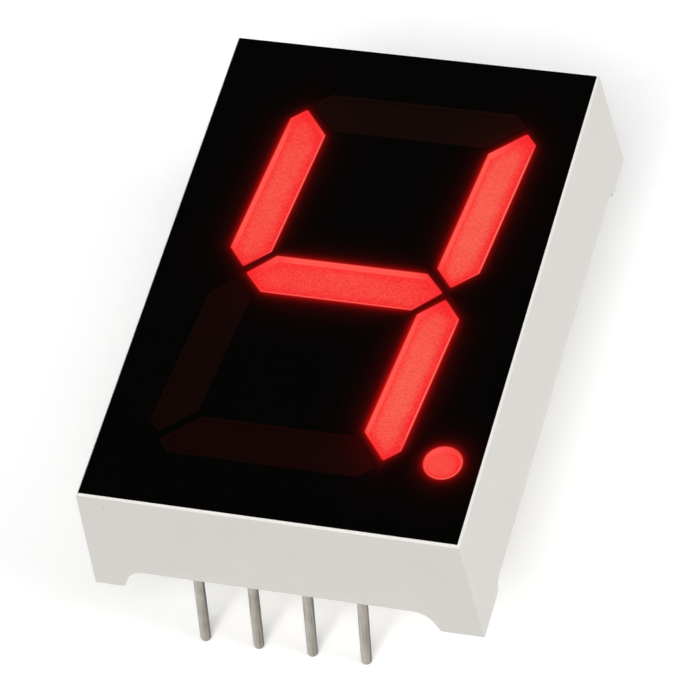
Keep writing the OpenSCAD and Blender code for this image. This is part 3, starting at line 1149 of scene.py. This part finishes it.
@dataclass
class Housing:
    """The moulded housing, with its outer edges rounded."""

    node: str = "housing"  # the CAD node it stands for
    round_over: float = 0.09  # width of the rounding
    steps: int = 4  # pieces in it
    draft: float = 3.0  # draft of the outer walls, in degrees
    crease: float = 25.0  # the angle past which an edge is rounded, in degrees
    slack: float = 0.02  # how far off the walls an edge may lie and still count as one of theirs
    upright: float = 0.55  # how wide the upright edges' rounding is, as a share of the others'
    weld: float = 0.0005  # distance within which loose points are one
    flat: float = 0.3  # the angle in degrees under which neighbouring faces are one
    sharp: float = 35.0  # the angle in degrees past which an edge stays sharp

    def build(self, material: Material) -> Object:
        """Copies the CAD mesh, joins its loose triangles and rounds its outer edges.

        Args:
            material: the finish.

        Returns:
            The piece.
        """
        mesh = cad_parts[self.node].data.copy()
        mesh.name = "housing_body"
        shell = bmesh.new()
        shell.from_mesh(mesh)
        bmesh.ops.remove_doubles(shell, verts=shell.verts, dist=self.weld * MM)
        flat = {"angle_limit": math.radians(self.flat), "use_dissolve_boundaries": False}
        bmesh.ops.dissolve_limit(shell, verts=shell.verts, edges=shell.edges, **flat)
        angles = np.array([edge.calc_face_angle(0.0) for edge in shell.edges])
        shell.to_mesh(mesh)
        shell.free()
        weights = np.where(angles > math.radians(self.crease), self.weights(mesh), 0.0)
        mesh.attributes.new("bevel_weight_edge", "FLOAT", "EDGE").data.foreach_set("value", weights)
        piece = new_piece(mesh, material, self.sharp)
        bevel = piece.modifiers.new("rounded_edges", "BEVEL")
        bevel.limit_method = "WEIGHT"
        bevel.width = self.round_over * MM
        bevel.segments = self.steps
        bevel.harden_normals = False
        return join_frame(piece, self.node)

    def weights(self, mesh: Mesh) -> np.ndarray:
        """Works out how wide each edge's rounding is.

        An edge is rounded where both of its ends lie on the outer walls, which lean in by their
        height times the tangent of the draft.

        Args:
            mesh: the mesh, in metres.

        Returns:
            A share of the full width for each edge.
        """
        flat, ends = np.empty(3 * len(mesh.vertices)), np.empty(2 * len(mesh.edges), dtype=np.int32)
        mesh.vertices.foreach_get("co", flat)
        mesh.edges.foreach_get("vertices", ends)
        points, ends = flat.reshape(-1, 3), ends.reshape(-1, 2)
        low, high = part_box(self.node)
        inwards = (points[:, 2] - low.z) * math.tan(math.radians(self.draft))
        walls = np.array([high.x, high.y]) - inwards[:, None] - np.abs(points[:, :2])
        outer = (walls.min(axis=1) <= self.slack * MM)[ends].all(axis=1)
        along = points[ends[:, 1]] - points[ends[:, 0]]
        upright = np.abs(along[:, 2]) > 0.5 * np.linalg.norm(along, axis=1)
        return np.where(upright, self.upright, 1.0) * outer


@dataclass
class Lamp:
    """A broad, distant lamp."""

    azimuth: float  # where it stands, in degrees from the front towards the right
    elevation: float  # its height over the floor, in degrees
    share: float  # the light it gives a level white sheet, where 1 is white
    spread: float  # its apparent width, in degrees

    def build(self, name: str) -> None:
        """Puts the lamp in the scene.

        Args:
            name: its name.
        """
        lamp = bpy.data.lights.new(name, "SUN")
        lamp.energy = self.share * math.pi / math.sin(math.radians(self.elevation))
        lamp.angle = math.radians(self.spread)
        turned = towards(self.azimuth, self.elevation).to_track_quat("Z", "Y")
        put(name, lamp).matrix_world = turned.to_matrix().to_4x4()


@dataclass
class Studio:
    """Pale floor, soft lights and white surroundings."""

    size: float = 3.0  # half the floor's side, in metres
    ambient: float = 0.24  # strength of the light from all round
    # the lamps, by name
    lamps: dict[str, Lamp] = field(
        default_factory=lambda: {
            "key": Lamp(15.0, 50.0, 0.415, 30.0),
            "rim": Lamp(-8.0, 46.0, 0.095, 15.0),
            "high": Lamp(70.0, 60.0, 0.089, 30.0),
            "right": Lamp(80.0, 45.0, 0.075, 30.0),
            "low": Lamp(80.0, 14.0, 0.083, 20.0),
        }
    )
    paper: Colour = (0.82, 0.82, 0.82)  # the floor's colour, as it lights the display
    white: Colour = (1.0, 1.0, 1.0)  # the floor's colour, as it is seen
    lift: Colour = (0.127, 0.127, 0.127)  # what the floor's colour is raised by, as it is seen

    def build(self) -> None:
        """Builds the floor, the world and the lights."""
        self.build_floor()
        self.build_world()
        for name, lamp in self.lamps.items():
            lamp.build(name)

    def build_floor(self) -> None:
        """A flat floor under the pin tips."""
        side = self.size
        corners = [(-side, -side, 0), (side, -side, 0), (side, side, 0), (-side, side, 0)]
        mesh = bpy.data.meshes.new("floor")
        mesh.from_pydata(corners, [], [(0, 1, 2, 3)])
        material, graph = new_material("floor_paper")
        mesh.materials.append(material)
        seen = graph.seen()
        paper, lift = graph.mix(seen, self.paper, self.white), graph.mix(seen, BLACK, self.lift)
        diffuse = graph.node("ShaderNodeBsdfDiffuse", None, {"Color": paper}).outputs[0]
        raised = graph.node("ShaderNodeEmission", None, {"Color": lift}).outputs[0]
        graph.finish(graph.node("ShaderNodeAddShader", None, {0: diffuse, 1: raised}))
        floor = put("floor", mesh)

    def build_world(self) -> None:
        """White surroundings for the camera and for reflections, a plain level for light."""
        world = bpy.data.worlds.new("studio")
        bpy.context.scene.world = world
        world.use_nodes = True
        graph = ShaderGraph(world.node_tree, "ShaderNodeOutputWorld")
        strength = graph.seen().fitted(1.0 - self.ambient, self.ambient)
        sockets = {"Color": self.white, "Strength": strength}
        graph.finish(graph.node("ShaderNodeBackground", None, sockets))


@dataclass
class Camera:
    """The camera, aimed at a point of the face."""

    azimuth: float = 26.962  # from the front towards the right, in degrees
    elevation: float = 52.498  # over the floor, in degrees
    roll: float = -14.788  # turn about its own axis, in degrees
    distance: float = 200.86  # from the aim point
    lens: float = 237.3  # focal length
    sensor: float = 36.0  # width of the sensor
    aim: Pair = (1.3067, -3.6867)  # the aim point on the face, from its middle

    def build(self) -> None:
        """Makes the camera and gives it to the scene."""
        turn, roll = math.radians(self.azimuth), math.radians(self.roll)
        level_axis = Vector((math.cos(turn), math.sin(turn), 0.0))
        back = towards(self.azimuth, self.elevation)
        right = math.cos(roll) * level_axis + math.sin(roll) * back.cross(level_axis)
        centre = (start[0] + start[1]) / 2
        target = Vector((centre.x + self.aim[0] * MM, centre.y + self.aim[1] * MM, start[1].z))
        lens = bpy.data.cameras.new("camera")
        lens.lens = self.lens
        lens.sensor_width = self.sensor
        lens.clip_start, lens.clip_end = 0.01, 50.0
        camera = put("camera", lens)
        axes = Matrix((right, back.cross(right), back)).transposed().to_4x4()
        camera.matrix_world = Matrix.Translation(target + back * self.distance * MM) @ axes
        bpy.context.scene.camera = camera


def towards(azimuth: float, elevation: float) -> Vector:
    """Unit vector at angles in degrees: from the front towards the right, and over the floor."""
    turn, rise = math.radians(azimuth), math.radians(elevation)
    return Vector((math.sin(turn) * math.cos(rise), -math.cos(turn) * math.cos(rise), math.sin(rise)))


class Light(NamedTuple):
    """The light of one lit segment."""

    warmth: float  # how warm it is over its chips
    halo: float  # strength of its halo under the film
    leak: float  # strength of its halo in the dark segments


@dataclass
class Display:
    """The whole display."""

    # the segments that are on, with the light of each
    lit: dict[str, Light] = field(
        default_factory=lambda: {
            "b": Light(0.95, 1.25, 1.3),
            "c": Light(0.9, 1.6, 1.3),
            "f": Light(0.62, 1.2, 0.45),
            "g": Light(0.40, 1.35, 0.45),
        }
    )
    # the segments that are off, with the light that leaks into each
    dark: dict[str, Colour] = field(
        default_factory=lambda: {
            "a": (0.0056, 0.0019, 0.0014),
            "d": (0.0060, 0.0009, 0.0009),
            "e": (0.0050, 0.0011, 0.0008),
        }
    )
    leak_term: Pair = (0.065, 0.55)  # strength and length of the halos in the dark segments
    # the settings of the decimal point's light
    point_light: dict[str, object] = field(
        default_factory=lambda: {
            "warmth": 0.5,
            "wall": (0.84, 0.052, 0.046),
            "sunny": (0.87, 0.076, 0.062),
            "tints": (0.4, 0.45),
            "flicker": 0.14,
            "rise": (-0.05, 0.35),
        }
    )
    lean: float = 6.9  # lean of the pins, in degrees

    def build(self) -> None:
        """Builds and dresses every piece."""
        edge = Window.film
        outlines = {name: top_outline(f"segment_{name}") for name in (*self.lit, *self.dark)}
        point = top_outline("decimal_point", rounded=True)
        radius = point.radius() + edge
        halo = Halo(
            tuple(outlines[name] for name in self.lit),
            tuple(light.halo for light in self.lit.values()),
            (*level(point.centre())[:2], radius),
            edge,
        )
        leaks = tuple(light.leak for light in self.lit.values())
        behind = replace(halo, gains=leaks, terms=(self.leak_term,))
        window = Window("decimal_point", point, Slot.LIT, draft=0.2, width=2 * radius)
        self.build_window(window, LitDiffuser(outline=point, **self.point_light))
        for name, light in self.lit.items():
            window = Window(f"segment_{name}", outlines[name], Slot.LIT)
            self.build_window(window, LitDiffuser(outline=outlines[name], warmth=light.warmth))
        for name, leak in self.dark.items():
            window = Window(f"segment_{name}", outlines[name], Slot.DARK)
            self.build_window(window, DarkDiffuser(halo=behind, leak=leak))
        self.build_pins()
        plastic = MouldedPlastic(heights("housing")[1])
        self.report(Housing().build(plastic.material("housing_plastic")))
        self.dress("face_film", InkFilm(halo=halo).material("ink_film"))
        self.dress_inside()

    def report(self, piece: Object) -> None:
        """Reports a finished piece."""
        LOG.info("%s: %d faces", piece.name, len(piece.data.polygons))

    def build_window(self, window: Window, finish: Finish) -> None:
        """Builds one light window with its finish."""
        self.report(window.build(*heights("face_film"), finish.material(window.node + "_finish")))

    def build_pins(self) -> None:
        """Builds the nine pins."""
        metal = TinnedWire(self.lean).material("tinned_wire")
        bend = heights("back_potting")[0]
        nodes = sorted(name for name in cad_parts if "_pin_" in name)
        for seed, name in enumerate(nodes):
            self.report(WirePin(name, self.lean, bend, seed).build(metal))

    def dress(self, node: str, material: Material) -> None:
        """Gives a CAD node its finish.

        Args:
            node: the node.
            material: the finish.
        """
        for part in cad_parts[node].material_slots:
            part.material = material
        LOG.info("%s: dressed", node)

    def dress_inside(self) -> None:
        """Dresses the CAD nodes that stay, each finish on the nodes whose names start as given."""
        board = Grained((0.72, 0.68, 0.48), (0.60, 0.57, 0.38), Noise(0.4), Noise(5), 0.01, 0.5)
        copper = Grained((0.80, 0.45, 0.29), (0.60, 0.30, 0.18), Noise(0.7), Noise(9), 0.002, 0.32)
        solder = Grained((0.70, 0.70, 0.69), (0.50, 0.50, 0.50), Noise(1.5), Noise(8), 0.003, 0.24)
        epoxy = Grained((0.70, 0.66, 0.55), (0.58, 0.54, 0.44), Noise(0.5), Noise(3), 0.006, 0.25)
        die = Grained((0.34, 0.30, 0.30), (0.20, 0.17, 0.18), Noise(4), Noise(20), 0.001, 0.3)
        gold = Grained((0.95, 0.70, 0.30), (0.80, 0.55, 0.20), Noise(3), Noise(20), 0.001, 0.22)
        for first, name, finish in (
            ("circuit_board", "laminate", replace(board, stretch=(1.0, 2.5, 1.0))),
            ("copper_tracks", "etched_copper", replace(copper, metallic=1.0)),
            ("solder_joints", "solder", replace(solder, metallic=1.0)),
            ("back_potting", "potted_epoxy", epoxy),
            ("led_die", "die", die),
            ("bond_wire", "gold_wire", replace(gold, metallic=1.0)),
        ):
            material = finish.material(name)
            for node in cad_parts:
                if node.startswith(first):
                    self.dress(node, material)


def main() -> None:
    """Builds the display, its studio and the camera."""
    logging.basicConfig(level=logging.INFO, format="%(name)s: %(message)s")
    Display().build()
    Studio().build()
    Camera().build()
    bpy.context.scene.view_settings.view_transform = "Standard"


if __name__ == "__main__":
    main()
